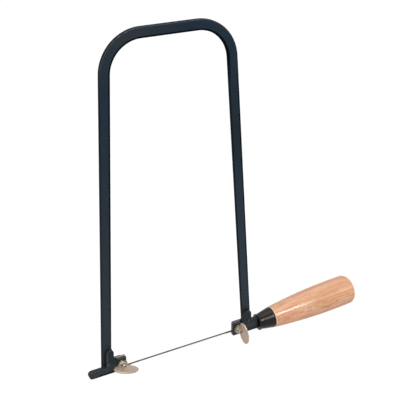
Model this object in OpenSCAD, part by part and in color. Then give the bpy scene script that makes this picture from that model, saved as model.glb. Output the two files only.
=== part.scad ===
// Deep-throat fret saw: a bent flat-bar bow, two forged clamp brackets with
// loose jaws and wing screws, a 130 mm plain-end blade and a turned handle.
// Millimetres. X runs along the blade to the handle, Z up through the throat,
// and the wing screws face -Y. The origin is the middle of the blade.

/* [Bow] */
// Clear throat from the blade line to the underside of the top bar
throat_depth = 303; // [150:1:360]
// Lean of each leg towards the other, in degrees
leg_lean = 3.67; // [0:0.05:4.5]
// Corner radius at the middle of the bar
corner_radius = 32; // [20:0.5:45]
// Width of the bar in the plane of the bow
bar_w = 9.2; // [7.6:0.1:10.4]
// Thickness of the bar
bar_t = 3.8; // [3.2:0.1:5]
// Rounding of the bar's edges
bar_edge = 0.9; // [0.4:0.1:1.4]

/* [Blade] */
// Length of the plain-end blade
blade_length = 130; // [100:0.5:160]
// Length of blade held in each clamp
blade_hold = 8.8; // [6:0.1:8.8]
// Height of the blade with its teeth
blade_h = 1.8; // [1.4:0.1:2.4]
// Thickness of the blade
blade_t = 0.5; // [0.35:0.05:0.7]
// Distance between two teeth
tooth_pitch = 1.6; // [1.2:0.1:2.4]
// Depth of a tooth
tooth_depth = 0.6; // [0.4:0.05:0.8]
// Plain length at each end of the blade
plain_end = 14; // [10:0.5:20]

/* [Brackets] */
// Thickness of the plate that laps over the leg
plate_t = 4.4; // [4.2:0.1:5.4]
// How far the fixed jaw's face lies behind the front of the bow
jaw_step = 0.4; // [0.3:0.05:0.8]
// Height of the front clamp's screw above the blade line
front_screw_z = 6.4; // [5.6:0.1:6.6]
// Height of the rear clamp's screw above the blade line
rear_screw_z = 3.8; // [3.7:0.1:5.6]
// Distance of each clamp screw from the middle of its leg
screw_reach = 13.5; // [13:0.1:15]
// How much nearer its leg the rear screw stands
rear_screw_shift = 1.4; // [0:0.1:1.6]
// Width of the tab that is welded up the leg
tab_w = 6.6; // [5:0.1:7.4]
// Top of the front tab above the blade line
front_tab_top = 25; // [22:0.2:32]
// How far the front tab stands inwards from the middle of its leg
front_tab_shift = 1.8; // [0:0.1:2.2]
// Top of the rear tab above the blade line
rear_tab_top = 21.4; // [20.6:0.2:28]
// Reach of the front foot in front of its leg
foot_reach = 18.4; // [13:0.2:26]
// Height of the front foot
foot_h = 7; // [5:0.1:8]
// Height of the middle of the foot and the arm above the blade line
bar_line_z = 3.2; // [2.6:0.1:4]
// Height of the rear arm
arm_h = 11.8; // [8:0.1:12.4]
// Radius of the fillets in the corners of the brackets
web_fillet = 3; // [1.5:0.1:4]
// Height of the fixed jaw above its screw
fixed_jaw_rise = 4.6; // [4:0.1:5.4]
// Diameter of the flush rivet that holds a bracket to its leg
rivet_d = 3.2; // [2.6:0.1:4]

/* [Loose jaws] */
// Width of a loose jaw along the blade
jaw_w = 9.4; // [8.6:0.1:9.8]
// Height of a loose jaw
jaw_h = 14; // [13.6:0.1:15]
// Thickness of a loose jaw
jaw_t = 4.3; // [3.6:0.1:5]
// Height of the heel that rests on the fixed jaw above the screw
heel_h = 1.6; // [1:0.1:2]
// Chamfer round the front of a loose jaw
jaw_chamfer = 0.6; // [0.2:0.1:0.8]
// Rounding of a loose jaw's four corners
jaw_corner = 1.2; // [0.6:0.1:2]

/* [Wing screws] */
// Thread diameter of a clamp screw
screw_d = 5; // [4:0.1:5.4]
// Diameter of the screw's collar
collar_d = 10; // [8.4:0.1:11]
// Thickness of the collar's round flange
flange_t = 1.2; // [0.8:0.1:1.8]
// Length of the cone in front of the flange
cone_h = 2.4; // [1.6:0.1:3]
// Diameter of the slotted stem that holds the wing
stem_d = 5.6; // [5:0.1:6.6]
// Length of the slotted stem
stem_h = 2.6; // [2:0.1:4]
// Length of the oval wing
wing_l = 24; // [20:0.5:27]
// Breadth of the oval wing
wing_b = 14.8; // [10:0.2:18]
// Thickness of the oval wing
wing_t = 1.5; // [1.2:0.1:2]
// Turn of the front wing from level, in degrees
front_wing_turn = 15.5; // [0:0.5:45]
// Turn of the rear wing from level, in degrees
rear_wing_turn = 84; // [60:0.5:120]
// Bend of each wing out of its screw's axis, in degrees
wing_bend = 6; // [0:0.1:10]

/* [Handle] */
// Tilt of the handle above the blade line, in degrees
handle_tilt = 3.15; // [0:0.05:5]
// Height of the handle's axis above the blade line at the rear leg
handle_z = 2; // [1.6:0.1:4]
// Distance from the rear leg's middle to the ferrule
ferrule_start = 10.2; // [9:0.1:16]
// Length of the ferrule
ferrule_l = 17; // [14:0.5:24]
// Diameter of the ferrule's small end
ferrule_d1 = 16.8; // [15:0.1:17.4]
// Diameter of the ferrule's large end
ferrule_d2 = 21.2; // [20:0.1:23]
// Wall of the ferrule
ferrule_wall = 1.6; // [1:0.1:2.2]
// Rounding of the ferrule's front rim
ferrule_round = 1.4; // [0.6:0.1:2]
// Length of the wood outside the ferrule
wood_l = 97.5; // [85:0.5:125]
// Largest diameter of the wooden handle
wood_d = 30.4; // [27:0.1:33]
// Rounding of the handle's butt
butt_round = 7; // [3:0.1:9]
// Diameter of the round tang inside the handle
tang_d = 4.2; // [3.6:0.1:4.2]
// Length of the tang inside the handle
tang_l = 62; // [45:1:75]

/* [Hidden] */
$fn = 64;

// Overrun of every cutting body
cut = 1;
// Running gap between a screw and the hole it turns in
screw_gap = 0.08;
// Gap beside a loose jaw
side_gap = 0.3;
// Gap round a driven or seated piece
seat_gap = 0.05;

// Layers from the back of the bow to the front of the wings
jaw_face_y = blade_t / 2;
bow_front_y = jaw_face_y - jaw_step;
bow_back_y = bow_front_y + bar_t;
bow_mid_y = bow_front_y + bar_t / 2;
plate_front_y = bow_front_y - plate_t;
plate_mid_y = bow_front_y - plate_t / 2;
jaw_back_y = -blade_t / 2;
jaw_front_y = jaw_back_y - jaw_t;

// Places along the blade
bare_half = blade_length / 2 - blade_hold;
screw_x = bare_half + jaw_w / 2;
half_span = screw_x + screw_reach;
rear_reach = screw_reach - rear_screw_shift;
rear_screw_x = half_span - rear_reach;
web_edge = screw_reach - jaw_w / 2 - side_gap;

// The bow's middle line
bow_top_z = throat_depth + bar_w / 2;
arc_z = bow_top_z - corner_radius;
arc_x = half_span - (corner_radius + arc_z * sin(leg_lean)) / cos(leg_lean);
leg_run = (arc_z + corner_radius * sin(leg_lean) - bar_line_z + foot_h / 2) / cos(leg_lean);

// Small places worked out from their carriers
rivet_z = bar_line_z + foot_h;
lug_end = screw_reach + jaw_w / 4;
lug_low = -blade_h / 2 - side_gap;
wing_seat = cone_h / 2;
shank_past = screw_d / 4;
rivet_crown = rivet_d / 10;

// The bar's rounded section: outwards from the bow, and across its thickness
section_steps = 4;
section = [
    for (quarter = [0 : 3], step = [0 : section_steps])
        let (turn = 90 * (quarter + step / section_steps),
            out = quarter == 0 || quarter == 3 ? 1 : -1,
            across = quarter < 2 ? 1 : -1)
            [out * (bar_w / 2 - bar_edge) + bar_edge * cos(turn),
                across * (bar_t / 2 - bar_edge) + bar_edge * sin(turn)]
];

// The bow's middle line as places and outward directions, from the front leg round to the rear
bend_steps = 20;
bend_turn = (90 - leg_lean) / bend_steps;
function bend(side, turn) =
    [side * arc_x + corner_radius * cos(turn), arc_z + corner_radius * sin(turn), turn];
function leg_foot(side, turn) =
    bend(side, turn) + [side * sin(leg_lean) * leg_run, -cos(leg_lean) * leg_run, 0];
bow_line = [
    leg_foot(-1, 180 - leg_lean),
    for (i = [0 : bend_steps]) bend(-1, 180 - leg_lean - i * bend_turn),
    for (i = [0 : bend_steps]) bend(1, 90 - i * bend_turn),
    leg_foot(1, leg_lean)
];

// A solid swept along places that each have an outward direction
module sweep(line, outline) {
    m = len(outline);
    last = len(line) - 1;
    polyhedron(
        points = [for (l = line, p = outline) [l[0] + p[0] * cos(l[2]), p[1], l[1] + p[0] * sin(l[2])]],
        faces = [
            [for (j = [m - 1 : -1 : 0]) j],
            for (i = [0 : last - 1], j = [0 : m - 1])
                [i * m + j, i * m + (j + 1) % m, (i + 1) * m + (j + 1) % m, (i + 1) * m + j],
            [for (j = [0 : m - 1]) last * m + j]
        ],
        convexity = 4
    );
}

// Puts a front part in place, or its mirror image at the rear
module at_leg(rear = false) {
    mirror([rear ? 1 : 0, 0, 0])
        translate([-half_span, 0, 0])
            children();
}

// Stands a flat outline, drawn as reach inwards and height, between two depths
module plate(y_front, y_back) {
    translate([0, y_back, 0])
        rotate([90, 0, 0])
            linear_extrude(y_back - y_front)
                children();
}

// A round hole or pin along Y at a reach and a height
module along_y(reach, z, d, y_front, y_back, d_front = -1) {
    translate([reach, y_back, z])
        rotate([90, 0, 0])
            cylinder(h = y_back - y_front, d1 = d, d2 = d_front < 0 ? d : d_front);
}

// Fills the corner between a floor and the tab, which leans away from it
module fillet(r) {
    open = 90 + leg_lean;
    run = r / tan(open / 2);
    difference() {
        polygon([[-cut, -cut], [run, -cut], [run, r], [run * cos(open), run * sin(open)],
            [run * cos(open) - cut, run * sin(open)]]);
        translate([run, r])
            circle(r = r);
    }
}

// Puts a fillet between the tab's outer side and a bar whose top is given
module tab_fillet(top, shift, r) {
    translate([shift + top * tan(leg_lean) - tab_w / 2 / cos(leg_lean), top])
        mirror([1, 0, 0])
            fillet(r);
}

// The outline of the leaning tab
module tab_outline(top, shift) {
    translate([shift, 0])
        rotate(-leg_lean) {
            translate([-tab_w / 2, bar_line_z])
                square([tab_w, top - tab_w / 2 - bar_line_z]);
            translate([0, top - tab_w / 2])
                circle(d = tab_w);
        }
}

// The web between the tab and the jaw, with its sloping shoulder
module web_outline(low, top) {
    shoulder = web_edge - tab_w / 2;
    polygon([[0, low], [tab_w / 2 + shoulder / 2, low], [web_edge, low + shoulder / 2],
        [web_edge, top], [tab_w / 2, top + 2 * shoulder], [0, top]]);
}

// The hole for the rivet through the plate and the leg
module rivet_hole() {
    along_y(rivet_z * tan(leg_lean), rivet_z, rivet_d + 2 * seat_gap, plate_front_y - cut, bow_back_y + cut);
}

// The fixed jaw behind the blade, with the root that joins it to the plate
module fixed_jaw(reach, screw_z) {
    top = screw_z + fixed_jaw_rise;
    round = fixed_jaw_rise / 3;
    difference() {
        union() {
            plate(jaw_face_y, bow_back_y) {
                translate([0, lug_low])
                    square([lug_end - round, top - lug_low]);
                translate([0, lug_low])
                    square([lug_end, top - round - lug_low]);
                translate([lug_end - round, top - round])
                    circle(r = round);
            }
            plate(bow_front_y, bow_back_y)
                translate([0, lug_low])
                    square([web_edge, top - lug_low]);
        }
        // The leg passes beside the jaw
        rotate([0, leg_lean, 0])
            translate([-bar_w / 2 - foot_reach, bow_front_y - cut, -corner_radius])
                cube([bar_w + seat_gap + foot_reach, bar_t + 2 * cut, 3 * corner_radius]);
        along_y(reach, screw_z, screw_d + 2 * screw_gap, bow_front_y - cut, bow_back_y + cut);
    }
}

// A bracket without its foot or arm
module bracket_body(reach, screw_z, tab_top, shift, low) {
    difference() {
        plate(plate_front_y, bow_front_y) {
            tab_outline(tab_top, shift);
            web_outline(low, screw_z + jaw_h / 2 - jaw_corner);
            children();
        }
        rivet_hole();
    }
    fixed_jaw(reach, screw_z);
}

module frame_bow() {
    color("#26313b")
        difference() {
            translate([0, bow_mid_y, 0])
                sweep(bow_line, section);
            at_leg()
                rivet_hole();
            at_leg(rear = true)
                rivet_hole();
        }
}

module front_bracket() {
    low = bar_line_z - foot_h / 2;
    color("#343c40")
        at_leg()
            bracket_body(screw_reach, front_screw_z, front_tab_top, front_tab_shift, low) {
                // The foot with its round toe
                translate([foot_h / 2 - foot_reach, low])
                    square([foot_reach, foot_h]);
                translate([foot_h / 2 - foot_reach, bar_line_z])
                    circle(d = foot_h);
                tab_fillet(low + foot_h, front_tab_shift, web_fillet / 2);
            }
}

// Places a part on the handle's axis, with its own Z along the axis
module on_handle_axis() {
    translate([half_span, plate_mid_y, handle_z])
        rotate([0, 90 - handle_tilt, 0])
            children();
}

module rear_bracket() {
    low = bar_line_z - arm_h / 2;
    color("#343c40") {
        difference() {
            at_leg(rear = true)
                bracket_body(rear_reach, rear_screw_z, rear_tab_top, 0, low) {
                    // The arm towards the handle
                    translate([-ferrule_start - cut, low])
                        square([ferrule_start + cut + tab_w / 2, arm_h]);
                    tab_fillet(low + arm_h, 0, web_fillet);
                }
            on_handle_axis()
                translate([-arm_h, -plate_t, ferrule_start - seat_gap])
                    cube([2 * arm_h, 2 * plate_t, arm_h]);
        }
        on_handle_axis()
            translate([0, 0, ferrule_start - tang_d])
                cylinder(h = tang_l, d = tang_d);
        on_handle_axis()
            translate([0, 0, ferrule_start - tang_d + tang_l])
                cylinder(h = tang_d, d1 = tang_d, d2 = tang_d / 2);
    }
}

module rivet(rear) {
    color("#3a434a")
        at_leg(rear) {
            along_y(rivet_z * tan(leg_lean), rivet_z, rivet_d, plate_front_y, bow_back_y);
            along_y(rivet_z * tan(leg_lean), rivet_z, rivet_d, plate_front_y - rivet_crown,
                plate_front_y, rivet_d / 2);
        }
}

module front_rivet() {
    rivet(false);
}

module rear_rivet() {
    rivet(true);
}

// The outline of a loose jaw, drawn in by a margin
module jaw_outline(margin) {
    r = jaw_corner - margin / 2;
    for (i = [-1, 1], j = [-1, 1])
        translate([i * (jaw_w / 2 - margin - r), j * (jaw_h / 2 - margin - r)])
            circle(r = r, $fn = 32);
}

module loose_jaw(rear, reach, screw_z) {
    color("#a3a29c")
        at_leg(rear)
            difference() {
                union() {
                    hull() {
                        translate([screw_reach, 0, screw_z])
                            plate(jaw_front_y + jaw_chamfer, jaw_back_y)
                                jaw_outline(0);
                        translate([screw_reach, 0, screw_z])
                            plate(jaw_front_y, jaw_back_y)
                                jaw_outline(jaw_chamfer);
                    }
                    // The heel keeps the jaw square on the blade
                    plate(jaw_back_y - heel_h / 2, jaw_face_y)
                        translate([screw_reach - jaw_w / 2 + jaw_corner, screw_z + fixed_jaw_rise - heel_h])
                            square([lug_end - screw_reach + jaw_w / 2 - 2 * jaw_corner, heel_h]);
                }
                along_y(reach, screw_z, screw_d + 2 * screw_gap, jaw_front_y - cut, jaw_face_y + cut);
            }
}

module front_loose_jaw() {
    loose_jaw(false, screw_reach, front_screw_z);
}

module rear_loose_jaw() {
    loose_jaw(true, rear_reach, rear_screw_z);
}

// Depths along a clamp screw
flange_front_y = jaw_front_y - flange_t;
cone_front_y = flange_front_y - cone_h;
stem_front_y = cone_front_y - stem_h;
wing_back_y = cone_front_y + wing_seat;

// Puts a wing's own X along its length and its middle in front of the screw
module at_wing(rear, screw_z, turn) {
    translate([rear ? rear_screw_x : -screw_x, wing_back_y, screw_z])
        rotate([0, turn, 0])
            rotate([-wing_bend, 0, 0])
                translate([0, -wing_b / 2, 0])
                    children();
}

module clamp_screw(rear, screw_z, turn) {
    reach = rear ? rear_reach : screw_reach;
    shoulder_d = collar_d - 2 * jaw_chamfer;
    color("#b7ad9c")
        difference() {
            at_leg(rear) {
                along_y(reach, screw_z, screw_d, jaw_front_y, bow_back_y + shank_past);
                along_y(reach, screw_z, screw_d * 3 / 5, bow_back_y + shank_past,
                    bow_back_y + 2 * shank_past, screw_d);
                along_y(reach, screw_z, collar_d, flange_front_y, jaw_front_y);
                along_y(reach, screw_z, shoulder_d, cone_front_y, flange_front_y, stem_d);
                along_y(reach, screw_z, stem_d, stem_front_y, cone_front_y);
            }
            at_wing(rear, screw_z, turn)
                translate([-collar_d, -wing_b / 2, -wing_t / 2 - seat_gap])
                    cube([2 * collar_d, wing_b + seat_gap, wing_t + 2 * seat_gap]);
        }
}

// An oval plate with rounded edges
wing_step = 7.5;
module wing(rear, screw_z, turn) {
    edge = wing_t / 3;
    color("#b5a58f")
        at_wing(rear, screw_z, turn)
            hull() {
                oval_plate(wing_l, wing_b, wing_t - 2 * edge);
                oval_plate(wing_l - 2 * edge, wing_b - 2 * edge, wing_t);
            }
}

module oval_plate(length, breadth, thickness) {
    linear_extrude(thickness, center = true)
        polygon([for (a = [0 : wing_step : 360 - wing_step]) [length / 2 * cos(a), breadth / 2 * sin(a)]]);
}

module front_clamp_screw() {
    clamp_screw(false, front_screw_z, front_wing_turn);
}

module rear_clamp_screw() {
    clamp_screw(true, rear_screw_z, rear_wing_turn);
}

module front_screw_wing() {
    wing(false, front_screw_z, front_wing_turn);
}

module rear_screw_wing() {
    wing(true, rear_screw_z, rear_wing_turn);
}

// One tooth as shares of the pitch and of the depth, raked towards the handle
tooth_shares = [[0.05, 0], [0.62, 1], [0.74, 1], [0.86, 0]];
teeth = floor((blade_length - 2 * plain_end) / tooth_pitch);

module blade() {
    root_z = -blade_h / 2 + tooth_depth;
    teeth_x = -teeth * tooth_pitch / 2;
    color("#4a4a4c")
        plate(-blade_t / 2, blade_t / 2)
            polygon([
                [-blade_length / 2, blade_h / 2], [-blade_length / 2, -blade_h / 2],
                [teeth_x, -blade_h / 2],
                for (i = [0 : teeth - 1], share = tooth_shares)
                    [teeth_x + (i + share[0]) * tooth_pitch, root_z - share[1] * tooth_depth],
                [-teeth_x, -blade_h / 2], [blade_length / 2, -blade_h / 2],
                [blade_length / 2, blade_h / 2]
            ]);
}

// The taper that the wood and the ferrule share, drawn in by a margin
module tenon_cone(margin) {
    h = ferrule_l - ferrule_wall;
    cylinder(h = h, r1 = ferrule_d1 / 2 - ferrule_wall - margin, r2 = ferrule_d2 / 2 - ferrule_wall - margin);
    translate([0, 0, h])
        cylinder(h = cut, r = ferrule_d2 / 2 - ferrule_wall - margin);
}

module handle_ferrule() {
    r1 = ferrule_d1 / 2;
    r2 = ferrule_d2 / 2;
    neck_r = r1 - ferrule_round / 4;
    color("#2e2d2a")
        on_handle_axis()
            translate([0, 0, ferrule_start])
                difference() {
                    rotate_extrude()
                        intersection() {
                            square([r2, ferrule_l]);
                            union() {
                                square([r1 - ferrule_round, ferrule_l]);
                                translate([r1 - ferrule_round, ferrule_round])
                                    circle(r = ferrule_round);
                                polygon([[0, ferrule_round], [neck_r, ferrule_round],
                                    [neck_r, 2 * ferrule_round], [r2, ferrule_l], [0, ferrule_l]]);
                            }
                        }
                    translate([0, 0, ferrule_wall])
                        tenon_cone(0);
                    translate([0, 0, -cut])
                        cylinder(h = ferrule_l, d = tang_d + 2 * seat_gap);
                }
}

// The handle's outline swells in a parabola to its fullest place, then falls a little
full_share = 0.77;
end_share = 0.975;
swell_steps = 24;
butt_step = 15;
dome_steps = 5;
function swell(t) = t < full_share
    ? wood_d / 2 - (wood_d - ferrule_d2) / 2 * pow(1 - t / full_share, 2)
    : wood_d / 2 * (1 - (1 - end_share) * pow((t - full_share) / (1 - full_share), 2));

module wooden_handle() {
    butt_start = wood_l - butt_round;
    butt_r = swell(butt_start / wood_l) - butt_round;
    dome = butt_round / dome_steps;
    color("#e0b08a")
        on_handle_axis()
            translate([0, 0, ferrule_start + ferrule_l])
                difference() {
                    union() {
                        rotate_extrude()
                            polygon([
                                [0, 0],
                                for (i = [0 : swell_steps])
                                    [swell(i / swell_steps * butt_start / wood_l), i / swell_steps * butt_start],
                                for (a = [butt_step : butt_step : 90 - butt_step])
                                    [butt_r + butt_round * cos(a), butt_start + (butt_round - dome) * sin(a)],
                                for (i = [0 : dome_steps])
                                    [butt_r * (1 - i / dome_steps), wood_l - dome * pow(1 - i / dome_steps, 2)]
                            ]);
                        translate([0, 0, ferrule_wall - ferrule_l])
                            tenon_cone(seat_gap);
                    }
                    translate([0, 0, -ferrule_l])
                        cylinder(h = tang_l + tang_d / 2, d = tang_d + 2 * seat_gap);
                }
}

frame_bow();
front_bracket();
front_rivet();
front_loose_jaw();
front_clamp_screw();
front_screw_wing();
rear_bracket();
rear_rivet();
rear_loose_jaw();
rear_clamp_screw();
rear_screw_wing();
blade();
handle_ferrule();
wooden_handle();
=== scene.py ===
import math

import bmesh
import bpy
from mathutils import Matrix, Vector


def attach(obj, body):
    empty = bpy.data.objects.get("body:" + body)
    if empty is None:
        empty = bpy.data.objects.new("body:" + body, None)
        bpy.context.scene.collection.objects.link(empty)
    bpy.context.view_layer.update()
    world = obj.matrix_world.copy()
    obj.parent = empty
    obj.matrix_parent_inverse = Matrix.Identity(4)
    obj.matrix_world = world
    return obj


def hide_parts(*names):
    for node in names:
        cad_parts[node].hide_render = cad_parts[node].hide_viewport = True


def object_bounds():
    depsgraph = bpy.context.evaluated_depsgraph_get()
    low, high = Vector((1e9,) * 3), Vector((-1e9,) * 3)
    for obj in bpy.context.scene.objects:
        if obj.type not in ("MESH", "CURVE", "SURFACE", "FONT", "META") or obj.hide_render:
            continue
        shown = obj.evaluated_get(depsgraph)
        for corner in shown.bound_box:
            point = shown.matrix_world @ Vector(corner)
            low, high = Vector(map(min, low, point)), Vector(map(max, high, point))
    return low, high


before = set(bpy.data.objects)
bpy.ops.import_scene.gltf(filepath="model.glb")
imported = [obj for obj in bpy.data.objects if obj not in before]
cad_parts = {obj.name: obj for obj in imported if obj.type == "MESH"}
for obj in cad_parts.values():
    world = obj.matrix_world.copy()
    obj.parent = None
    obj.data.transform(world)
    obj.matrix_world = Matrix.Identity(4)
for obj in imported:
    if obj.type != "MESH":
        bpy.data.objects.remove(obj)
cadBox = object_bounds()
mm = 0.001
print("fret saw: frame loaded with", len(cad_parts), "nodes")


# Helpers for meshes: everything is drawn in millimetres and scaled at the end

def finishPiece(name, bm, body, nodeNames, material, sharpAngle=32):
    bmesh.ops.remove_doubles(bm, verts=bm.verts, dist=0.00001)
    bmesh.ops.recalc_face_normals(bm, faces=bm.faces)
    bmesh.ops.scale(bm, vec=(mm, mm, mm), verts=bm.verts)
    mesh = bpy.data.meshes.new(name)
    bm.to_mesh(mesh)
    bm.free()
    for face in mesh.polygons:
        face.use_smooth = True
    mesh.set_sharp_from_angle(angle=math.radians(sharpAngle))
    piece = bpy.data.objects.new(name, mesh)
    bpy.context.scene.collection.objects.link(piece)
    piece.data.materials.append(material)
    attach(piece, body)
    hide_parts(*nodeNames)


def lathe(bm, profile, steps, placing):
    # Spins a line of (radius, along) about Z, merges its seam and poles, then puts it in its place
    verts = [bm.verts.new((radius, 0, along)) for radius, along in profile]
    edges = [bm.edges.new(pair) for pair in zip(verts, verts[1:])]
    bmesh.ops.spin(bm, geom=verts + edges, cent=(0, 0, 0), axis=(0, 0, 1), dvec=(0, 0, 0),
                   angle=math.tau, steps=steps, use_merge=True)
    bmesh.ops.remove_doubles(bm, verts=bm.verts, dist=0.0001)
    bmesh.ops.transform(bm, matrix=placing, verts=bm.verts)


def nodeCopy(nodeName):
    # A merged copy of a CAD node, in millimetres, with its flat faces made whole
    bm = bmesh.new()
    bm.from_mesh(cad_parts[nodeName].data)
    bmesh.ops.scale(bm, vec=(1 / mm,) * 3, verts=bm.verts)
    bmesh.ops.remove_doubles(bm, verts=bm.verts, dist=0.002)
    bmesh.ops.dissolve_limit(bm, angle_limit=math.radians(0.6), verts=bm.verts, edges=bm.edges,
                             use_dissolve_boundaries=False, delimit=set())
    return bm


def softenEdges(bm, width, segments, overAngle):
    # Rounds the sharp edges and marks the new faces for wear and painted highlight
    wearAndHighlight = bm.faces.layers.float.new("edgeWearAndHighlight")
    sharp = [e for e in bm.edges
             if len(e.link_faces) == 2 and e.calc_face_angle(0) > math.radians(overAngle)]
    made = bmesh.ops.bevel(bm, geom=sharp, offset=width, offset_type='OFFSET', affect='EDGES',
                           segments=segments, profile=0.5, material=-1, clamp_overlap=True)
    for face in made["faces"]:
        face[wearAndHighlight] = 1.0


def cutAcross(bm, place, normal):
    # Cuts every face along a plane, so that a tone can end there
    bmesh.ops.bisect_plane(bm, geom=bm.verts[:] + bm.edges[:] + bm.faces[:], dist=0.0001,
                           plane_co=place, plane_no=normal)


# Helpers for materials

def paint(red, green, blue):
    def linear(c):
        c = c / 255
        return c / 12.92 if c <= 0.04045 else ((c + 0.055) / 1.055) ** 2.4
    return (linear(red), linear(green), linear(blue), 1)


class NodeTree:
    # A thin wrapper that keeps the node code short
    def __init__(self, name):
        self.material = bpy.data.materials.new(name)
        self.material.use_nodes = True
        self.nodes = self.material.node_tree.nodes
        self.links = self.material.node_tree.links
        self.shader = self.nodes["Principled BSDF"]

    def add(self, kind, inputs=None, **settings):
        node = self.nodes.new(kind)
        for key, value in settings.items():
            setattr(node, key, value)
        for key, value in (inputs or {}).items():
            self.put(node.inputs[key], value)
        return node

    def put(self, socket, value):
        if isinstance(value, bpy.types.NodeSocket):
            self.links.new(value, socket)
        else:
            socket.default_value = value

    def objectSpace(self, location=(0, 0, 0), rotation=(0, 0, 0)):
        # Object coordinates, or the same seen from an axis of the piece's own
        coords = self.add("ShaderNodeTexCoord").outputs["Object"]
        return self.add("ShaderNodeMapping", {"Vector": coords, "Location": location,
                        "Rotation": rotation}, vector_type='TEXTURE').outputs["Vector"]

    def stretch(self, vector, scale):
        return self.add("ShaderNodeMapping", {"Vector": vector, "Scale": scale}).outputs["Vector"]

    def noise(self, vector, scale, detail, roughness):
        return self.add("ShaderNodeTexNoise", {"Vector": vector, "Scale": scale, "Detail": detail,
                        "Roughness": roughness}).outputs["Fac"]

    def attribute(self, name):
        return self.add("ShaderNodeAttribute", attribute_name=name).outputs["Fac"]

    def axis(self, vector, letter):
        return self.add("ShaderNodeSeparateXYZ", {0: vector}).outputs[letter]

    def ramp(self, value, *stops):
        # Each stop is a place from 0 to 1 and the level there
        node = self.add("ShaderNodeValToRGB", {"Fac": value})
        elements = node.color_ramp.elements
        while len(elements) < len(stops):
            elements.new(0.5)
        for element, (place, level) in zip(elements, stops):
            element.position = place
            element.color = (level, level, level, 1)
        return node.outputs["Color"]

    def math(self, operation, a, b, c=0.0, clamp=False):
        node = self.add("ShaderNodeMath", {0: a, 1: b, 2: c}, operation=operation, use_clamp=clamp)
        return node.outputs[0]

    def mix(self, factor, a, b):
        # Sockets 6 and 7, and output 2, are the node's colours
        return self.add("ShaderNodeMix", {0: factor, 6: a, 7: b}, data_type='RGBA').outputs[2]

    def distance(self, a, b):
        return self.add("ShaderNodeVectorMath", {0: a, 1: b}, operation='DISTANCE').outputs["Value"]

    def bump(self, height, strength, distance, after=None):
        inputs = {"Height": height, "Strength": strength, "Distance": distance}
        if after is not None:
            inputs["Normal"] = after
        return self.add("ShaderNodeBump", inputs).outputs["Normal"]

    def finish(self, **sockets):
        for key, value in sockets.items():
            self.put(self.shader.inputs[key.replace("_", " ")], value)
        return self.material


# Materials

def makeEnamel(name, look):
    # Blue-black enamel: a thin satin coat over steel, greyer low down, worn along the edges, with
    # painted highlight and painted shade along the edges and listed spots of painted sheen and of
    # darker tone
    tree = NodeTree(name)
    where = tree.objectSpace()
    cloud = tree.noise(where, 38, 4, 0.6)
    speck = tree.noise(where, 620, 2, 0.6)
    height = tree.axis(where, "Z")
    low = tree.ramp(tree.math('MULTIPLY', height, look["fade"]), (0.0, 1.0), (0.9, 0.0))
    colour = tree.mix(tree.ramp(cloud, (0.3, 0.0), (0.72, 1.0)), look["deep"], look["light"])
    colour = tree.mix(low, colour, look["low"])
    # Each listed spot: a painted sheen on the bow's front bend, and a darker tone
    for patch in look["sheenAndDarkPatches"]:
        away = tree.math('DIVIDE', tree.distance(where, patch["at"]), patch["reach"])
        share = tree.ramp(away, (0.25, patch["share"]), (1.0, 0.0))
        colour = tree.mix(share, colour, patch["tone"])
    colour = tree.mix(tree.ramp(speck, (0.64, 0.0), (0.72, 0.5)), colour, look["dust"])
    # Marked edges get a paler tone: part wear, part painted highlight
    edges = tree.attribute("edgeWearAndHighlight")
    colour = tree.mix(tree.math('MULTIPLY', edges, look["edgeShade"], clamp=True),
                      colour, look["shade"])
    # Painted shade on flanks, creases and undersides, with less shine there
    shadeMask = tree.attribute("paintedShade")
    colour = tree.mix(shadeMask, colour, look["crease"])
    # Bare spots along the marked edges: wear, and painted highlight on the bow's top edge
    gaps = tree.ramp(tree.noise(where, 200, 5, 0.65), look["wearFrom"], look["wearTo"])
    rubbedAndHighlit = tree.math('MULTIPLY', edges, gaps, clamp=True)
    colour = tree.mix(rubbedAndHighlit, colour, look["bare"])
    peel = tree.noise(where, 900, 2, 0.5)
    rolled = tree.noise(where, 130, 4, 0.6)   # the hot-rolled surface under the paint
    normal = tree.bump(peel, 0.25, 0.00006)
    normal = tree.bump(rolled, 0.35, look["grain"], normal)
    shine = tree.math('MULTIPLY', tree.math('SUBTRACT', 1.0, shadeMask), look["shine"])
    return tree.finish(Base_Color=colour, Roughness=tree.ramp(cloud, (0.25, 0.40), (0.75, 0.55)),
                       Metallic=tree.math('MULTIPLY', rubbedAndHighlit, 0.6), Specular_IOR_Level=shine,
                       Coat_Weight=0.02, Coat_Roughness=0.3, Normal=normal)


def makePlated(name, look):
    # Plated steel: fine rubbing marks along one way and dull cloudy patches
    tree = NodeTree(name)
    where = tree.objectSpace()
    cloud = tree.noise(where, 120, 4, 0.6)
    marks = tree.noise(tree.stretch(where, look["streak"]), 1, 3, 0.7)
    colour = tree.mix(tree.ramp(cloud, (0.32, 0.0), (0.7, 1.0)), look["dull"], look["bright"])
    colour = tree.mix(tree.ramp(marks, (0.5, 0.0), (0.75, 0.35)), colour, look["mark"])
    wear = tree.attribute("edgeWearAndHighlight")
    colour = tree.mix(tree.math('MULTIPLY', wear, 0.5), colour, look["edge"])
    rough = tree.ramp(marks, (0.3, look["smooth"]), (0.75, look["rough"]))
    normal = tree.bump(marks, 0.2, 0.00003)
    normal = tree.bump(cloud, 0.2, 0.00008, normal)
    return tree.finish(Base_Color=colour, Roughness=rough, Metallic=look["metallic"], Normal=normal)


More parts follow.
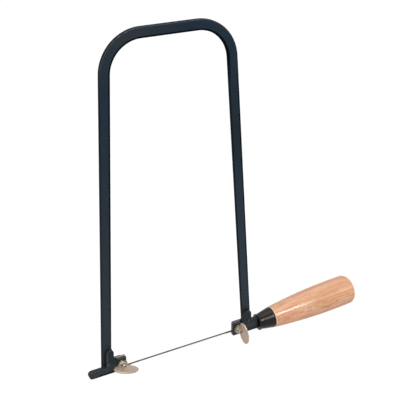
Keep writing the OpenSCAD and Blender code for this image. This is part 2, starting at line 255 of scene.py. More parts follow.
def makeTurned(name, look):
    # Nickel over turned steel: fine rings across the screw's axis, with painted shade in its
    # corners
    tree = NodeTree(name)
    where = tree.objectSpace()
    rings = tree.noise(tree.stretch(where, (40, 1500, 40)), 1, 3, 0.6)
    cloud = tree.noise(where, 300, 4, 0.65)
    colour = tree.mix(tree.ramp(cloud, (0.36, 0.0), (0.64, 1.0)), look["dull"], look["bright"])
    colour = tree.mix(tree.ramp(rings, (0.5, 0.0), (0.66, 0.5)), colour, look["dark"])
    # From 0 where the collar meets the jaw to 1 at the far end of the stem
    ahead = tree.math('SUBTRACT', clamp["jawFront"] * mm, tree.axis(where, "Y"))
    proud = clamp["flange"] + clamp["cone"] + clamp["stemLong"]
    ahead = tree.math('DIVIDE', ahead, proud * mm, clamp=True)
    # Rings of painted shade where the collar meets the jaw, the flange meets the cone and the cone
    # meets the stem
    shadeRings = tree.ramp(ahead, (0.0, 0.7), (0.06, 0.15), (0.14, 0.2), (0.2, 0.85), (0.28, 0.0),
                      (0.5, 0.0), (0.58, 0.9), (0.68, 0.0))
    colour = tree.mix(shadeRings, colour, look["dark"])
    normal = tree.bump(rings, 0.5, 0.00006)
    normal = tree.bump(cloud, 0.3, 0.00008, normal)
    return tree.finish(Base_Color=colour, Roughness=tree.ramp(cloud, (0.3, 0.14), (0.7, 0.3)),
                       Metallic=1.0, Normal=normal)


def makeJawSteel(name, look):
    # Plate steel, dark on the faces that look along the screw and bright on its cut edges; the dark
    # strip along the front of its top and sides is painted shade
    tree = NodeTree(name)
    where = tree.objectSpace()
    cloud = tree.noise(where, 180, 4, 0.6)
    cuts = tree.noise(tree.stretch(where, (240, 1400, 1400)), 1, 3, 0.7)
    bright = tree.mix(tree.ramp(cloud, (0.3, 0.0), (0.7, 1.0)), look["dull"], look["bright"])
    bright = tree.mix(tree.ramp(cuts, (0.5, 0.0), (0.75, 0.5)), bright, look["mark"])
    black = tree.mix(tree.ramp(cloud, (0.35, 0.0), (0.65, 1.0)), look["black"], look["grey"])
    mask = tree.attribute("darkFaceMask")
    metal = tree.math('SUBTRACT', 1.0, tree.math('MULTIPLY', mask, 0.75))
    rough = tree.ramp(cloud, (0.3, 0.34), (0.7, 0.5))
    return tree.finish(Base_Color=tree.mix(mask, bright, black), Roughness=rough, Metallic=metal,
                       Specular_IOR_Level=0.35, Normal=tree.bump(cuts, 0.25, 0.00004))


def makeBeech(name, look):
    # Beech under clear lacquer, with its rings, pores and dark flecks along the handle
    tree = NodeTree(name)
    where = tree.objectSpace(Vector(handle["start"]) * mm, (0, -math.radians(handle["tilt"]), 0))
    drift = tree.noise(tree.stretch(where, (16, 50, 50)), 1, 3, 0.55)
    heart = tree.add("ShaderNodeVectorMath", {0: where, 1: look["heart"]},
                     operation='SUBTRACT').outputs[0]
    rings = tree.add("ShaderNodeTexWave", {"Vector": heart, "Scale": look["ringScale"],
                     "Distortion": 2.2, "Detail": 3, "Detail Scale": 0.35, "Detail Roughness": 0.6},
                     wave_type='RINGS', rings_direction='X', wave_profile='SIN').outputs["Fac"]
    pores = tree.noise(tree.stretch(where, (120, 1000, 1000)), 1, 3, 0.7)
    flecks = tree.noise(tree.stretch(where, (110, 720, 720)), 1, 3, 0.65)
    streak = tree.noise(tree.stretch(where, (20, 480, 480)), 1, 4, 0.65)
    along, upward = tree.axis(where, "X"), tree.axis(where, "Z")
    colour = tree.mix(tree.ramp(drift, (0.34, 0.0), (0.66, 1.0)), look["pale"], look["warm"])
    blush = tree.ramp(tree.noise(where, 62, 2, 0.5), (0.52, 0.0), (0.66, 0.75))
    colour = tree.mix(blush, colour, look["pink"])
    colour = tree.mix(tree.ramp(rings, (0.45, 0.0), (0.95, 0.35)), colour, look["ring"])
    colour = tree.mix(tree.ramp(streak, (0.36, 0.5), (0.48, 0.0)), colour, look["light"])
    colour = tree.mix(tree.ramp(streak, (0.52, 0.0), (0.66, 0.6)), colour, look["streak"])
    colour = tree.mix(tree.ramp(pores, (0.53, 0.0), (0.62, 0.5)), colour, look["streak"])
    # The flecks come in bands, and most of them low on the grip
    below = tree.ramp(tree.math('MULTIPLY_ADD', upward, -40.0, 0.62), (0.2, 0.12), (0.62, 1.0))
    band = tree.ramp(tree.noise(tree.stretch(where, (20, 70, 70)), 1, 2, 0.5),
                     (0.4, 0.2), (0.56, 1.0))
    dark = tree.math('MULTIPLY', band, below)
    dark = tree.math('MULTIPLY', tree.ramp(flecks, (0.53, 0.0), (0.6, 0.7)), dark)
    colour = tree.mix(dark, colour, look["fleck"])
    # The butt is warmer, with a darker rim, and a pale ring of painted highlight lies on the
    # shoulder by the ferrule
    far = tree.math('MULTIPLY', along, 8.0)
    butt = tree.ramp(far, (0.9, 0.0), (0.97, 0.5))
    butt = tree.math('MULTIPLY', butt,
                     tree.ramp(tree.noise(where, 90, 2, 0.5), (0.45, 0.1), (0.6, 1.0)))
    colour = tree.mix(butt, colour, look["orange"])
    colour = tree.mix(tree.ramp(far, (0.97, 0.0), (0.985, 0.6)), colour, look["streak"])
    collar = tree.ramp(tree.math('MULTIPLY', along, 30.0), (0.828, 0.9), (0.858, 0.0))
    colour = tree.mix(collar, colour, look["turned"])
    normal = tree.bump(pores, 0.15, 0.00003)
    normal = tree.bump(streak, 0.1, 0.00003, normal)
    return tree.finish(Base_Color=colour, Roughness=tree.ramp(streak, (0.3, 0.42), (0.7, 0.55)),
                       Specular_IOR_Level=0.06, Coat_Weight=0.2, Coat_IOR=2.2, Coat_Roughness=0.12,
                       Normal=normal)


def makeLacquer(name, look):
    # Thick black lacquer with a fine orange peel, and a painted highlight on its marked faces
    tree = NodeTree(name)
    where = tree.objectSpace()
    peel = tree.noise(where, 260, 2, 0.5)
    cloud = tree.noise(where, 70, 3, 0.6)
    colour = tree.mix(tree.ramp(cloud, (0.3, 0.0), (0.7, 1.0)), look["deep"], look["light"])
    # Painted highlight on the bead
    colour = tree.mix(tree.math('MULTIPLY', tree.attribute("edgeWearAndHighlight"), 0.35),
                      colour, look["rubbedAndHighlit"])
    return tree.finish(Base_Color=colour, Roughness=tree.ramp(cloud, (0.3, 0.17), (0.7, 0.23)),
                       Specular_IOR_Level=0.27, Specular_Tint=look["tint"],
                       Normal=tree.bump(peel, 0.03, 0.00005))


# The handle's own numbers, shared by its wood, ferrule and material. Here and in the other pieces
# lengths are in millimetres and angles in degrees
handle = {
    "start": (74.4, -2.35, 2.0),   # where its axis meets the rear leg
    "tilt": 3.15,
    "ferruleFrom": 10.2, "ferruleLong": 17, "ferruleSteps": 96, "tangHole": 4.3,
    "smallEnd": 16.8, "largeEnd": 21.2, "rim": 1.4, "wall": 1.5, "neckFrom": 1.6, "taperFrom": 1.9,
    "woodLong": 97.49, "fullest": 30.39, "fullShare": 0.77, "endShare": 0.975, "buttRound": 7,
    "woodSteps": 128,
}

# The clamps' own numbers, shared by their screws and plating
clamp = {
    "frontX": -60.9, "rearX": 62.3, "frontZ": 6.4, "rearZ": 3.8, "frontTurn": 15.5, "rearTurn": 84,
    "jawFront": -4.55, "jawEdge": 0.22, "brightTo": -2.5,
    "collar": 10, "flange": 1.2, "cone": 2.4, "steps": 64,
    "stem": 5.6, "stemLong": 2.6, "stemRound": 1.6, "stemRise": 1.3,
    "thread": 5, "pitch": 0.8, "threadDepth": 0.42, "threadSteps": 28, "shankEnd": 6.15,
    "wingLong": 24, "wingBroad": 14.8, "wingThick": 1.5, "wingEdge": 0.5, "wingBend": 6,
    "wingSteps": 96,
}

enamel = makeEnamel("enamelBlueBlack", {
    "deep": paint(19, 35, 47), "light": paint(28, 43, 56), "low": paint(46, 54, 62),
    "dust": paint(54, 64, 74), "shade": paint(58, 66, 74), "edgeShade": 0.5,
    "crease": paint(6, 9, 12), "bare": paint(90, 92, 94),
    "wearFrom": (0.52, 0.0), "wearTo": (0.7, 0.4), "grain": 0.00012, "shine": 0.1, "fade": 3.6,
    # A paler painted sheen over the front bend and a darker tone down the rear leg, in metres
    "sheenAndDarkPatches": (
        {"at": (-0.036, 0, 0.304), "reach": 0.045, "share": 0.36, "tone": paint(54, 55, 55)},
        {"at": (0.061, 0, 0.205), "reach": 0.05, "share": 0.58, "tone": paint(15, 28, 33)})})
forgedEnamel = makeEnamel("enamelForged", {
    "deep": paint(22, 29, 34), "light": paint(36, 44, 49), "low": paint(52, 57, 62),
    "dust": paint(70, 76, 82), "shade": paint(112, 118, 125), "edgeShade": 0.85,
    "crease": paint(6, 8, 9), "bare": paint(128, 130, 130),
    "wearFrom": (0.45, 0.0), "wearTo": (0.58, 0.9), "grain": 0.0003, "shine": 0.14, "fade": 75.0,
    "sheenAndDarkPatches": ()})
nickel = makeTurned("nickelTurned", {
    "dull": paint(138, 128, 112), "bright": paint(190, 181, 162), "dark": paint(54, 46, 38)})
wingNickel = makePlated("nickelWing", {
    "dull": paint(173, 153, 136), "bright": paint(188, 169, 152), "mark": paint(148, 128, 110),
    "edge": paint(190, 174, 158), "smooth": 0.34, "rough": 0.5, "streak": (70, 900, 900),
    "metallic": 0.7})
jawSteel = makeJawSteel("jawBlackened", {
    "dull": paint(120, 119, 115), "bright": paint(156, 155, 151), "mark": paint(86, 85, 82),
    "black": paint(26, 29, 28), "grey": paint(38, 44, 40)})
bladeSteel = makePlated("bladeSteel", {
    "dull": paint(92, 86, 82), "bright": paint(124, 118, 114), "mark": paint(60, 56, 56),
    "edge": paint(190, 190, 190), "smooth": 0.28, "rough": 0.45, "streak": (60, 900, 2400),
    "metallic": 1.0})
blackLacquer = makeLacquer("lacquerBlack", {
    "deep": paint(6, 5, 3), "light": paint(16, 13, 9), "rubbedAndHighlit": paint(96, 92, 84),
    "tint": (1.0, 0.93, 0.86, 1)})
beech = makeBeech("beechLacquered", {
    "pale": paint(231, 183, 150), "warm": paint(219, 163, 124), "pink": paint(231, 168, 138),
    "ring": paint(207, 149, 108), "streak": paint(197, 138, 97), "light": paint(239, 199, 168),
    "fleck": paint(156, 100, 62), "orange": paint(214, 154, 88), "turned": paint(248, 214, 176),
    "ringScale": 62, "heart": (0, 0.034, 0.021)})
print("fret saw: materials made")


# The bow: a flat bar's section carried up one leg, over both bends and down the other
bow = {
    "width": 9.2, "thick": 3.8, "edge": 0.9, "edgeSteps": 4,
    "lean": 3.67, "bend": 32, "bendSteps": 28, "legSteps": 12, "topSteps": 3,
    "topMid": 307.599, "footMid": 3.2, "footHigh": 7, "bendX": 24.657, "midY": 1.75,
    "crownHighlight": 2.0, "crownRise": 8,
    "flankDark": 0.75, "edgeShaded": 0.9, "shadeRim": 0.7, "shadeFade": 0.25,
    "lowZ": 60, "lowWear": 0.5, "lowShaded": 0.2,   # below this height the edges are rubbed instead
}


def makeBow():
    lean = math.radians(bow["lean"])
    bendZ = bow["topMid"] - bow["bend"]
    rise = (bendZ + bow["bend"] * math.sin(lean)
            - bow["footMid"] + bow["footHigh"] / 2) / math.cos(lean)
    up = Vector((math.sin(lean), 0, math.cos(lean)))
    inward = Vector((math.cos(lean), 0, -math.sin(lean)))
    bendStart = Vector((-bow["bendX"], bow["midY"], bendZ)) - inward * bow["bend"]
    foot = bendStart - up * rise
    bm = bmesh.new()
    bmesh.ops.create_grid(bm, x_segments=1, y_segments=1, size=0.5)
    bmesh.ops.scale(bm, vec=(bow["width"], bow["thick"], 1), verts=bm.verts)
    bmesh.ops.bevel(bm, geom=bm.verts[:], offset=bow["edge"], offset_type='OFFSET',
                    affect='VERTICES', segments=bow["edgeSteps"], profile=0.5, material=-1)
    # Lines in the section keep the rim of painted shade on the front face apart from the plain
    # middle
    rimOuter = bow["width"] / 2 - bow["edge"] - bow["shadeRim"]
    rimInner = rimOuter - bow["shadeFade"]
    for x in (-rimOuter, -rimInner, rimInner, rimOuter):
        cutAcross(bm, (x, 0, 0), (1, 0, 0))
    turned = Matrix((inward, Vector((0, 1, 0)), up)).transposed().to_4x4()
    bmesh.ops.transform(bm, matrix=Matrix.Translation(foot) @ turned, verts=bm.verts)
    head = bm.faces[:]

    def carry(distance):
        nonlocal head
        made = bmesh.ops.extrude_face_region(bm, geom=head)["geom"]
        head = [g for g in made if isinstance(g, bmesh.types.BMFace)]
        verts = list({v for f in head for v in f.verts})
        bmesh.ops.translate(bm, vec=distance, verts=verts)

    def turn(centre, angle):
        nonlocal head
        around = (list({v for f in head for v in f.verts})
                  + list({e for f in head for e in f.edges}) + head)
        last = bmesh.ops.spin(bm, geom=around, cent=centre, axis=(0, 1, 0), dvec=(0, 0, 0),
                              angle=angle, steps=bow["bendSteps"], use_merge=False)["geom_last"]
        head = [g for g in last if isinstance(g, bmesh.types.BMFace)]

    for step in range(bow["legSteps"]):
        carry(up * rise / bow["legSteps"])
    turn((-bow["bendX"], bow["midY"], bendZ), math.pi / 2 - lean)
    for step in range(bow["topSteps"]):
        carry(Vector((2 * bow["bendX"] / bow["topSteps"], 0, 0)))
    turn((bow["bendX"], bow["midY"], bendZ), math.pi / 2 - lean)
    down = Vector((up.x, 0, -up.z))
    for step in range(bow["legSteps"]):
        carry(down * rise / bow["legSteps"])
    bmesh.ops.recalc_face_normals(bm, faces=bm.faces)
    wearAndHighlight = bm.verts.layers.float.new("edgeWearAndHighlight")
    dark = bm.verts.layers.float.new("paintedShade")
    for v in bm.verts:
        # Across runs over the rounded edge, from 0 at mid thickness to 1 on the flat faces
        across = abs(v.co.y - bow["midY"]) / (bow["thick"] / 2)
        flank, flat = across < 0.9, across > 0.98
        low, high = v.co.z < bow["lowZ"], v.co.z > bendZ
        v[wearAndHighlight] = bow["lowWear"] if low and not flank and not flat else 0.0
        # The flanks get painted shade
        v[dark] = bow["flankDark"] if flank else 0.0
        # Side is the distance from the bar's middle line, positive on the outside of the bow
        if high:
            side = math.hypot(max(abs(v.co.x) - bow["bendX"], 0), v.co.z - bendZ) - bow["bend"]
        else:
            side = (bendStart - Vector((-abs(v.co.x), bow["midY"], v.co.z))).dot(inward)
        if v.co.y > bow["midY"] or flat and abs(side) < rimInner + 0.05:
            continue
        # A painted highlight runs along the outer front edge at the top, and painted shade on the
        # edges that face the handle
        if high and side > 0:
            if across > 0.8 and not flat:
                v[wearAndHighlight] = bow["crownHighlight"] * min((v.co.z - bendZ) / bow["crownRise"], 1)
                v[dark] = 0.0
        elif high or (side > 0) == (v.co.x > 0):
            v[dark] = 1.0 if flank else bow["lowShaded"] if low else bow["edgeShaded"]
    finishPiece("bowBar", bm, "root", ["frame_bow"], enamel, 40)


makeBow()
print("fret saw: bow bent")


# The rivets' own numbers, shared with the brackets: front is also the face of the brackets' tabs
rivet = {
    "across": 3.2, "crown": 0.32, "tail": 0.12, "front": -4.55, "back": 3.65, "z": 10.2,
    "legX": 74.4,   # the leg's middle line at z 0
    "crownSteps": 6, "steps": 40, "rubbedAndHighlitShare": 0.7, "wear": 0.25, "rimDark": 0.3,
}

# The two forged brackets are the CAD shapes with their edges broken
forging = {
    "edge": 0.42, "edgeSteps": 3, "overAngle": 34,
    # Painted shade along the lower edge: up to each height, how dark. Ahead of its start in x the
    # foot's tip has it only at its base
    "shadeBands": ((0.9, 1.0), (1.4, 0.8), (1.9, 0.45)), "shadeBandsFrom": -84,
    # A band of wear and painted highlight round the outline of the tabs
    "band": 0.45, "bandFrom": 12.5, "bandPast": 71, "bandWearAndHighlight": 0.35,
    "underside": -0.15, "asideDark": 0.5,
}


def makeBracket(nodeName, name, depth):
    bm = nodeCopy(nodeName)
    softenEdges(bm, forging["edge"], forging["edgeSteps"], forging["overAngle"])
    rubbedAndHighlit = bm.faces.layers.int.new("rubbedAndHighlit")
    bm.normal_update()
    plate = [f for f in bm.faces
             if f.normal.y < -0.99 and abs(f.calc_center_median().y - rivet["front"]) < 0.01]
    band = bmesh.ops.inset_region(bm, faces=plate, thickness=forging["band"], depth=0,
                                  use_boundary=True, use_even_offset=True)["faces"]
    for face in band:
        face[rubbedAndHighlit] = 1
    for level, share in forging["shadeBands"]:
        cutAcross(bm, (0, 0, level), (0, 0, 1))
    cutAcross(bm, (0, 0, forging["bandFrom"]), (0, 0, 1))
    cutAcross(bm, (forging["shadeBandsFrom"], 0, 0), (1, 0, 0))
    wearAndHighlight = bm.faces.layers.float["edgeWearAndHighlight"]
    dark = bm.faces.layers.float.new("paintedShade")
    bm.normal_update()
    for face in bm.faces:
        middle = face.calc_center_median()
        if face[rubbedAndHighlit] and abs(middle.x) > forging["bandPast"]:
            face[wearAndHighlight] = forging["bandWearAndHighlight"] if middle.z > forging["bandFrom"] else 0.0
        share = next((share for level, share in forging["shadeBands"] if middle.z < level), 0.0)
        if middle.x < forging["shadeBandsFrom"] and share < 1:
            share = 0.0
        # Faces that look down get full painted shade
        if face.normal.z < forging["underside"]:
            share = 1.0
        if share > 0:
            face[wearAndHighlight], face[dark] = 0.0, depth * share
        # Marked edges that face +X get painted shade in place of the paler tone
        elif face.normal.x > 0.4 and face[wearAndHighlight] > 0:
            face[wearAndHighlight], face[dark] = 0.0, forging["asideDark"]
    bm.faces.layers.int.remove(rubbedAndHighlit)
    finishPiece(name, bm, "root", [nodeName], forgedEnamel)


# The rear bracket gets weaker painted shade than the front
makeBracket("front_bracket", "frontForging", 1.0)
makeBracket("rear_bracket", "rearForging", 0.4)
print("fret saw: brackets forged")


# Flush rivets, with the ends set a little proud

def makeRivet(side, nodeName, name):
    radius = rivet["across"] / 2
    span = rivet["back"] - rivet["front"]
    x = side * (rivet["legX"] - rivet["z"] * math.tan(math.radians(bow["lean"])))
    profile = [(0, -rivet["tail"]), (radius * 0.9, -rivet["tail"]), (radius, 0.04), (radius, span)]
    for step in range(1, rivet["crownSteps"]):
        angle = step / rivet["crownSteps"] * math.pi / 2
        profile.append((radius * math.cos(angle), span + rivet["crown"] * math.sin(angle)))
    profile.append((0, span + rivet["crown"]))
    bm = bmesh.new()
    lathe(bm, profile, rivet["steps"],
          Matrix.Translation((x, rivet["back"], rivet["z"])) @ Matrix.Rotation(math.pi / 2, 4, 'X'))
    wearAndHighlight = bm.faces.layers.float.new("edgeWearAndHighlight")
    dark = bm.faces.layers.float.new("paintedShade")
    # The middle of the head is paler, part wear and part painted highlight, and its rim gets
    # painted shade
    for face in bm.faces:
        spot = face.calc_center_median()
        rubbedAndHighlit = math.hypot(spot.x - x, spot.z - rivet["z"]) < radius * rivet["rubbedAndHighlitShare"]
        face[wearAndHighlight], face[dark] = (rivet["wear"], 0.0) if rubbedAndHighlit else (0.0, rivet["rimDark"])
    finishPiece(name, bm, "root", [nodeName], forgedEnamel)


makeRivet(-1, "front_rivet", "frontRivetHead")
makeRivet(1, "rear_rivet", "rearRivetHead")
print("fret saw: rivets set")


# Clamps: a loose jaw, a screw with its collar and thread, and an oval wing

def makeJaw(nodeName, name, body, dullness):
    bm = nodeCopy(nodeName)
    softenEdges(bm, clamp["jawEdge"], 2, 25)
    cutAcross(bm, (0, clamp["brightTo"], 0), (0, 1, 0))
    dark = bm.faces.layers.float.new("darkFaceMask")
    bm.normal_update()
    # Faces that look along the screw are dark, and the strip ahead of the cut is painted shade
    for face in bm.faces:
        front = face.calc_center_median().y < clamp["brightTo"]
        face[dark] = 1.0 if front or abs(face.normal.y) > 0.3 else dullness
    finishPiece(name, bm, body, [nodeName], jawSteel)


def makeScrew(x, z, nodeName, name, body):
    # Drawn from the stem's tip to the shank's end, as radius and distance along the axis
    jaw, end = clamp["jawFront"], clamp["shankEnd"]
    flange = jaw - clamp["flange"]
    cone = flange - clamp["cone"]
    tip = cone - clamp["stemLong"]
    collar, stem, crest = clamp["collar"] / 2, clamp["stem"] / 2, clamp["thread"] / 2
    core = crest - clamp["threadDepth"]
    inner = stem - clamp["stemRound"]
    profile = [(0, tip), (inner, tip + 0.02)]
    for step in range(1, 7):
        angle = step / 6 * math.pi / 2
        profile.append((inner + clamp["stemRound"] * math.sin(angle),
                        tip + clamp["stemRise"] * (1 - math.cos(angle))))
    profile += [(stem, cone - 0.4), (stem + 0.1, cone - 0.1), (stem + 0.35, cone + 0.12),
                (collar - 1.0, flange - 0.5), (collar - 0.75, flange - 0.28),
                (collar - 0.7, flange - 0.02), (collar - 0.35, flange),
                (collar - 0.1, flange + 0.12), (collar, flange + 0.35),
                (collar, jaw - 0.25), (collar - 0.25, jaw), (crest, jaw), (crest, jaw + 0.4),
                (core, jaw + 0.8), (core, end - 0.5), (core - 0.5, end), (0, end)]
    bm = bmesh.new()
    lathe(bm, profile, clamp["steps"], Matrix())
    # The thread: a small ridge carried round and along the shank
    first, turns = jaw + 0.6, (end - 0.5 - jaw - 0.9) / clamp["pitch"]
    half = clamp["pitch"] * 0.44
    root, top = core - 0.05, crest - 0.04
    ridge = [bm.verts.new(co) for co in (
        (root, 0, first), (top, 0, first + half - 0.06),
        (top, 0, first + half + 0.06), (root, 0, first + 2 * half))]
    face = bm.faces.new(ridge)
    steps = int(turns * clamp["threadSteps"])
    bmesh.ops.spin(bm, geom=ridge + face.edges[:] + [face], cent=(0, 0, 0), axis=(0, 0, 1),
                   dvec=(0, 0, turns * clamp["pitch"] / steps), angle=math.tau * turns, steps=steps,
                   use_merge=False)
    placing = Matrix.Translation((x, 0, z)) @ Matrix.Rotation(-math.pi / 2, 4, 'X')
    bmesh.ops.transform(bm, matrix=placing, verts=bm.verts)
    finishPiece(name, bm, body, [nodeName], nickel)


def makeWing(x, z, turn, nodeName, name, body):
    slot = clamp["jawFront"] - clamp["flange"] - clamp["cone"] / 2
    bm = bmesh.new()
    bmesh.ops.create_circle(bm, cap_ends=True, segments=clamp["wingSteps"], radius=0.5)
    bmesh.ops.scale(bm, vec=(clamp["wingLong"], clamp["wingBroad"], 1), verts=bm.verts)
    bmesh.ops.translate(bm, vec=(0, 0, -clamp["wingThick"] / 2), verts=bm.verts)
    made = bmesh.ops.extrude_face_region(bm, geom=bm.faces[:])["geom"]
    top = [g for g in made if isinstance(g, bmesh.types.BMVert)]
    bmesh.ops.translate(bm, vec=(0, 0, clamp["wingThick"]), verts=top)
    softenEdges(bm, clamp["wingEdge"], 4, 50)
    for face in [f for f in bm.faces if len(f.verts) == clamp["wingSteps"]]:
        bmesh.ops.inset_region(bm, faces=[face], thickness=0.8, depth=0)
    placing = (Matrix.Translation((x, slot, z)) @ Matrix.Rotation(math.radians(turn), 4, 'Y')
               @ Matrix.Rotation(-math.radians(clamp["wingBend"]), 4, 'X')
               @ Matrix.Translation((0, -clamp["wingBroad"] / 2, 0)))
    bmesh.ops.transform(bm, matrix=placing, verts=bm.verts)
    finishPiece(name, bm, body, [nodeName], wingNickel)


makeJaw("front_loose_jaw", "frontJaw", "front_clamp", 0.0)
makeJaw("rear_loose_jaw", "rearJaw", "rear_clamp", 0.6)
makeScrew(clamp["frontX"], clamp["frontZ"], "front_clamp_screw", "frontScrew", "front_screw")
makeScrew(clamp["rearX"], clamp["rearZ"], "rear_clamp_screw", "rearScrew", "rear_screw")
makeWing(clamp["frontX"], clamp["frontZ"], clamp["frontTurn"],
         "front_screw_wing", "frontWing", "front_screw")
makeWing(clamp["rearX"], clamp["rearZ"], clamp["rearTurn"],
         "rear_screw_wing", "rearWing", "rear_screw")
print("fret saw: clamps made")


# The blade keeps its CAD teeth, set a little to each side in turn
blade = {"pitch": 1.6, "set": 0.05, "gullets": -0.5, "halfToothed": 50.4}


def makeBlade():
    bm = nodeCopy("blade")
    wearAndHighlight = bm.verts.layers.float.new("edgeWearAndHighlight")
    for v in bm.verts:
        if v.co.z < blade["gullets"] and abs(v.co.x) < blade["halfToothed"]:
            number = int((v.co.x + blade["halfToothed"]) / blade["pitch"])
            v.co.y += blade["set"] if number % 2 else -blade["set"]
            v[wearAndHighlight] = 1.0
    finishPiece("bladeToothed", bm, "root", ["blade"], bladeSteel, 20)


makeBlade()
print("fret saw: blade toothed")


# The handle: a lathe-turned ferrule and a swelling wooden grip

def onHandleAxis(along):
    tilt = math.radians(handle["tilt"])
    start = Vector(handle["start"]) + Vector((math.cos(tilt), 0, math.sin(tilt))) * along
    return Matrix.Translation(start) @ Matrix.Rotation(math.pi / 2 - tilt, 4, 'Y')


def makeFerrule():
    small, large = handle["smallEnd"] / 2, handle["largeEnd"] / 2
    long, rim = handle["ferruleLong"], handle["rim"]
    neck, taperFrom = small - rim / 3, handle["taperFrom"] * rim
    profile = [(handle["tangHole"] / 2, 1.2), (handle["tangHole"] / 2, 0)]
    # The bead, which turns up sooner at the bracket than it falls to the neck
    for step in range(13):
        angle = step / 12 * math.radians(150)
        ahead = rim * 0.6 if step < 8 else rim
        profile.append((small - rim + rim * math.sin(angle), rim * 0.6 - ahead * math.cos(angle)))
    profile += [(neck, rim * handle["neckFrom"]), (neck + 0.02, taperFrom)]
    for step in range(1, 9):
        share = step / 8
        profile.append((neck + (large - neck) * share,
                        taperFrom + (long - taperFrom - 0.7) * share))
    profile += [(large - 0.1, long - 0.4), (large - 0.35, long - 0.15), (large - 0.7, long),
                (large - handle["wall"], long), (small - handle["wall"], 1.7)]
    placing = onHandleAxis(handle["ferruleFrom"])
    bm = bmesh.new()
    lathe(bm, profile + [profile[0]], handle["ferruleSteps"], placing)
    # The bead's leading round gets a painted highlight where it meets the bracket
    wearAndHighlight = bm.faces.layers.float.new("edgeWearAndHighlight")
    home = placing.inverted()
    for face in bm.faces:
        spot = home @ face.calc_center_median()
        rubbedAndHighlit = 0.25 < spot.z < 0.7 and math.hypot(spot.x, spot.y) > small - rim
        face[wearAndHighlight] = 1.0 if rubbedAndHighlit else 0.0
    finishPiece("ferruleShell", bm, "root", ["handle_ferrule"], blackLacquer)


def makeGrip():
    long, full, share = handle["woodLong"], handle["fullest"] / 2, handle["fullShare"]
    small, butt = handle["largeEnd"] / 2, handle["buttRound"]
    buttFrom = long - butt

    def swell(t):
        if t < share:
            return full - (full - small) * (1 - t / share) ** 2
        return full * (1 - (1 - handle["endShare"]) * ((t - share) / (1 - share)) ** 2)

    # The tenon's end and the turned shoulder, then the swelling side, and the butt's round and
    # low dome
    profile = [(0, -2), (small - 1.8, -2), (small - 1.8, 0), (small - 0.7, 0.02),
               (small - 0.3, 0.16), (small - 0.05, 0.42), (small + 0.06, 0.8)]
    for step in range(1, 49):
        along = 0.8 + (buttFrom - 0.8) * step / 48
        profile.append((swell(along / long), along))
    flat = swell(buttFrom / long) - butt
    dome = butt / 5
    for step in range(1, 12):
        angle = math.radians(step * 7.5)
        profile.append((flat + butt * math.cos(angle), buttFrom + (butt - dome) * math.sin(angle)))
    for step in range(11):
        profile.append((flat * (1 - step / 10), long - dome * (1 - step / 10) ** 2))
    bm = bmesh.new()
    lathe(bm, profile, handle["woodSteps"],
          onHandleAxis(handle["ferruleFrom"] + handle["ferruleLong"]))
    finishPiece("gripBeech", bm, "root", ["wooden_handle"], beech, 45)


makeFerrule()
makeGrip()
print("fret saw: handle turned")


# Floor, lights and camera, with the studio's lengths in metres
studio = {
    "floorHalf": 9.0, "floorDrop": 0.0004, "floorGrey": 0.6, "floorGlow": 0.86, "glowLevel": 1.12,
    "worldFill": 0.44,
    "lamps": {
        "keyLamp": {"at": (0.40, -1.35, 1.3), "aim": (0.05, 0, 0.1), "size": 0.6, "power": 17.0},
        "topLamp": {"at": (0.05, 0.35, 1.95), "aim": (0.05, 0, 0.1), "size": 1.6, "power": 11.0},
        "fillLamp": {"at": (-1.3, -1.5, 0.9), "aim": (0, 0, 0.12), "size": 1.4, "power": 3.5},
    },
}

# The photograph's viewpoint, from a fit to the bow's outline. Here the angles are in radians
viewpoint = {
    "azimuth": 0.4682, "elevation": 0.4578, "roll": -0.0137,
    "aim": (-14.53, 1.75, 148.8), "back": 656.28, "right": 35.476, "up": 12.045,
    "picture": 400, "focal": 756.29, "centre": (200.49, 198.71),   # in pixels
    "sensor": 36,
}


def whiteForEyes(tree):
    # 1 for camera, glossy and transmission rays, and 0 for the light that falls on the object
    path = tree.nodes.new("ShaderNodeLightPath")
    either = tree.nodes.new("ShaderNodeMath")
    either.operation = 'MAXIMUM'
    tree.links.new(path.outputs["Is Camera Ray"], either.inputs[0])
    tree.links.new(path.outputs["Is Glossy Ray"], either.inputs[1])
    every = tree.nodes.new("ShaderNodeMath")
    every.operation = 'MAXIMUM'
    tree.links.new(either.outputs[0], every.inputs[0])
    tree.links.new(path.outputs["Is Transmission Ray"], every.inputs[1])
    return every.outputs[0]


def makeFloor():
    bm = bmesh.new()
    bmesh.ops.create_grid(bm, x_segments=1, y_segments=1, size=studio["floorHalf"])
    bmesh.ops.translate(bm, vec=(0, 0, cadBox[0].z - studio["floorDrop"]), verts=bm.verts)
    mesh = bpy.data.meshes.new("floorSheet")
    bm.to_mesh(mesh)
    bm.free()
    floor = bpy.data.objects.new("floorSheet", mesh)
    bpy.context.scene.collection.objects.link(floor)
    material = bpy.data.materials.new("floorPaper")
    material.use_nodes = True
    tree = material.node_tree
    tree.nodes.clear()
    out = tree.nodes.new("ShaderNodeOutputMaterial")
    blend = tree.nodes.new("ShaderNodeMixShader")
    paper = tree.nodes.new("ShaderNodeBsdfDiffuse")
    paper.inputs["Color"].default_value = (studio["floorGrey"],) * 3 + (1,)
    glow = tree.nodes.new("ShaderNodeEmission")
    glow.inputs["Color"].default_value = (1, 1, 1, 1)
    glow.inputs["Strength"].default_value = studio["glowLevel"]
    share = tree.nodes.new("ShaderNodeMath")
    share.operation = 'MULTIPLY'
    share.inputs[1].default_value = studio["floorGlow"]
    tree.links.new(whiteForEyes(tree), share.inputs[0])
    tree.links.new(share.outputs[0], blend.inputs[0])
    tree.links.new(paper.outputs[0], blend.inputs[1])
    tree.links.new(glow.outputs[0], blend.inputs[2])
    tree.links.new(blend.outputs[0], out.inputs["Surface"])
    mesh.materials.append(material)


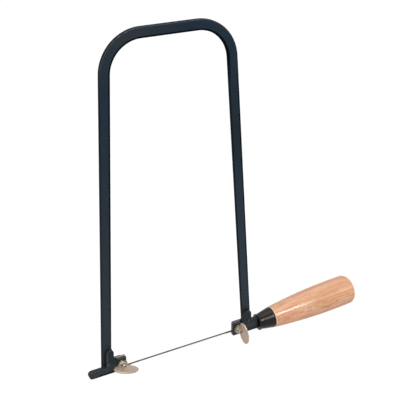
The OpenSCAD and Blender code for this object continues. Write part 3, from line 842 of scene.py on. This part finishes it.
def makeWorld():
    world = bpy.data.worlds.new("studioWhite")
    bpy.context.scene.world = world
    world.use_nodes = True
    tree = world.node_tree
    back = tree.nodes["Background"]
    back.inputs["Color"].default_value = (1, 1, 1, 1)
    level = tree.nodes.new("ShaderNodeMapRange")
    level.inputs["To Min"].default_value = studio["worldFill"]
    level.inputs["To Max"].default_value = 1.0
    tree.links.new(whiteForEyes(tree), level.inputs["Value"])
    tree.links.new(level.outputs[0], back.inputs["Strength"])


def makeLamp(name, look):
    lamp = bpy.data.lights.new(name, 'AREA')
    lamp.shape = 'RECTANGLE'
    lamp.size = lamp.size_y = look["size"]
    lamp.energy = look["power"]
    holder = bpy.data.objects.new(name, lamp)
    bpy.context.scene.collection.objects.link(holder)
    holder.location = look["at"]
    toward = Vector(look["aim"]) - Vector(look["at"])
    holder.rotation_euler = toward.to_track_quat('-Z', 'Y').to_euler()


def makeCamera():
    azimuth, elevation, roll = viewpoint["azimuth"], viewpoint["elevation"], viewpoint["roll"]
    right = Vector((math.cos(azimuth), -math.sin(azimuth), 0))
    back = Vector((-math.sin(azimuth) * math.cos(elevation),
                   -math.cos(azimuth) * math.cos(elevation), math.sin(elevation)))
    up = back.cross(right)
    right, up = (math.cos(roll) * right + math.sin(roll) * up,
                 math.cos(roll) * up - math.sin(roll) * right)
    picture, (centreX, centreY) = viewpoint["picture"], viewpoint["centre"]
    lens = bpy.data.cameras.new("photoView")
    lens.sensor_width = viewpoint["sensor"]
    lens.lens = viewpoint["focal"] * viewpoint["sensor"] / picture
    lens.shift_x = (picture / 2 - centreX) / picture
    lens.shift_y = (centreY - picture / 2) / picture
    lens.clip_start = 0.01
    holder = bpy.data.objects.new("photoView", lens)
    bpy.context.scene.collection.objects.link(holder)
    place = (Vector(viewpoint["aim"]) + back * viewpoint["back"] + right * viewpoint["right"]
             + up * viewpoint["up"])
    facing = Matrix((right, up, back)).transposed().to_4x4()
    holder.matrix_world = Matrix.Translation(place * mm) @ facing
    bpy.context.scene.camera = holder


makeFloor()
makeWorld()
for lampName, lampLook in studio["lamps"].items():
    makeLamp(lampName, lampLook)
makeCamera()
bpy.context.scene.view_settings.view_transform = 'Standard'
print("fret saw: studio ready")
